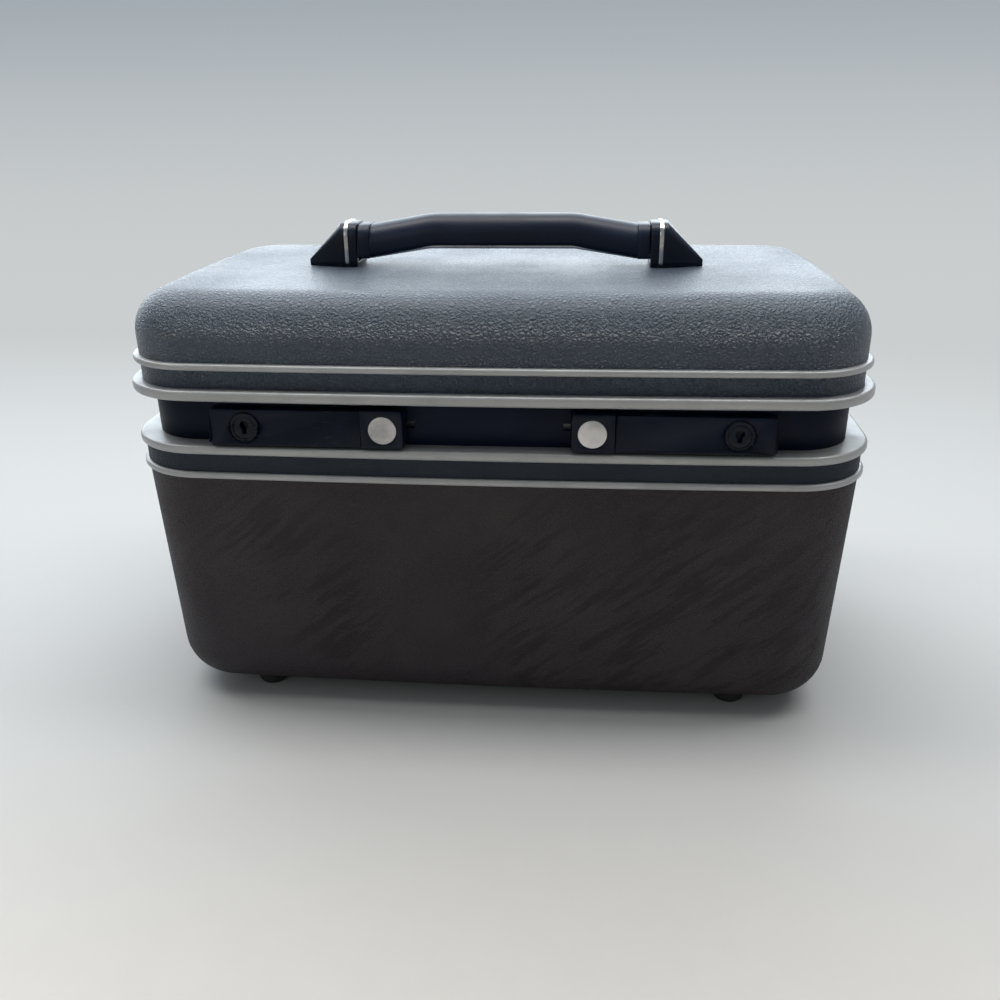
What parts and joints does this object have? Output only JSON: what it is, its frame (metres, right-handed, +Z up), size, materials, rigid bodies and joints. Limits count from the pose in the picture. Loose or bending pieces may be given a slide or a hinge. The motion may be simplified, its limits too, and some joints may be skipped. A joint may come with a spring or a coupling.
{
  "type": "cosmetic train case",
  "caption": "Hard cosmetic train case with a hinged lid, top handle, front latches with key locks, a recessed band, lid mirror and lift-out tray.",
  "frame": {"origin": "on the floor under the middle of the case, at the feet's lowest faces", "axes": "+X right as seen from the front, front face towards -Y, +Z up"},
  "size_m": [0.3354, 0.189, 0.2251],
  "materials": {
    "shell_grain": "leather-grain moulded plastic, satin",
    "frame_grey": "satin",
    "band_black": "smooth, satin",
    "latch_black": "semi-gloss black",
    "handle_black": "soft satin",
    "cap_black": "satin",
    "lining_cloth": "woven",
    "tray_plastic": "satin",
    "steel": "plain",
    "zinc": "zinc plated",
    "chrome": "polished",
    "disc_satin": "satin",
    "mirror": "silvered",
    "mirror_frame": "satin",
    "foot_dark": "matte"
  },
  "bodies": {
    "base": {"body_shell": "shell_grain", "body_trim": "frame_grey", "body_frame": "frame_grey", "latch_band": "band_black", "body_lining": "lining_cloth", "tray_ledges": "tray_plastic", "feet": "foot_dark", "foot_rivets": "zinc", "hinge_body_leaves": "steel", "hinge_pins": "steel", "hinge_body_rivets": "zinc", "left_keeper": "zinc", "right_keeper": "zinc", "keeper_screws": "zinc", "left_release_spring": "steel", "right_release_spring": "steel"},
    "lid": {"lid_shell": "shell_grain", "lid_frame": "frame_grey", "lid_trim": "frame_grey", "lid_lining": "lining_cloth", "mirror_glass": "mirror", "mirror_frame": "mirror_frame", "mirror_screws": "zinc", "backing_plates": "zinc", "handle_screws": "zinc", "left_handle_cap": "cap_black", "right_handle_cap": "cap_black", "left_handle_trim_ring": "chrome", "right_handle_trim_ring": "chrome", "left_handle_holder": "cap_black", "right_handle_holder": "cap_black", "left_cap_seat_pad": "foot_dark", "right_cap_seat_pad": "foot_dark", "left_hasp_bracket": "zinc", "right_hasp_bracket": "zinc", "left_hasp_pin": "steel", "right_hasp_pin": "steel", "hinge_lid_leaves": "steel", "hinge_lid_rivets": "zinc"},
    "handle": {"handle_grip": "handle_black", "handle_strap": "chrome", "handle_collars": "handle_black", "handle_pins": "steel"},
    "left_hasp": {"left_hasp": "latch_black", "left_lock_bezel": "chrome"},
    "left_key": {"left_key_plug": "disc_satin", "left_lock_cam": "zinc"},
    "left_button": {"left_release_button": "latch_black", "left_button_disc": "disc_satin", "left_release_slide": "zinc", "left_release_screw": "zinc"},
    "right_hasp": {"right_hasp": "latch_black", "right_lock_bezel": "chrome"},
    "right_key": {"right_key_plug": "disc_satin", "right_lock_cam": "zinc"},
    "right_button": {"right_release_button": "latch_black", "right_button_disc": "disc_satin", "right_release_slide": "zinc", "right_release_screw": "zinc"},
    "tray": {"tray": "tray_plastic"}
  },
  "joints": [
    {"name": "lid_open", "type": "hinge", "parent": "base", "child": "lid", "pos_m": [0, 0.089, 0.151], "axis": [-1, 0, 0], "range_deg": [0, 100]},
    {"name": "handle_lift", "type": "slide", "parent": "lid", "child": "handle", "axis": [0, 0, 1], "range_m": [0, 0.01]},
    {"name": "tray_lift", "type": "slide", "parent": "base", "child": "tray", "axis": [0, 0, 1], "range_m": [0, 0.035]},
    {"name": "left_hasp_open", "type": "hinge", "parent": "lid", "child": "left_hasp", "pos_m": [-0.088, -0.0885, 0.1517], "axis": [-1, 0, 0], "range_deg": [0, 85]},
    {"name": "left_key_turn", "type": "hinge", "parent": "left_hasp", "child": "left_key", "pos_m": [-0.1056, -0.09, 0.14525], "axis": [0, 1, 0], "range_deg": [0, 90]},
    {"name": "left_release", "type": "slide", "parent": "base", "child": "left_button", "axis": [1, 0, 0], "range_m": [0, 0.007], "stiffness_N_per_m": 300, "springref_m": -0.005, "deforming": ["left_release_spring"]},
    {"name": "right_hasp_open", "type": "hinge", "parent": "lid", "child": "right_hasp", "pos_m": [0.088, -0.0885, 0.1517], "axis": [-1, 0, 0], "range_deg": [0, 85]},
    {"name": "right_key_turn", "type": "hinge", "parent": "right_hasp", "child": "right_key", "pos_m": [0.1056, -0.09, 0.14525], "axis": [0, -1, 0], "range_deg": [0, 90]},
    {"name": "right_release", "type": "slide", "parent": "base", "child": "right_button", "axis": [-1, 0, 0], "range_m": [0, 0.007], "stiffness_N_per_m": 300, "springref_m": -0.005, "deforming": ["right_release_spring"]}
  ]
}
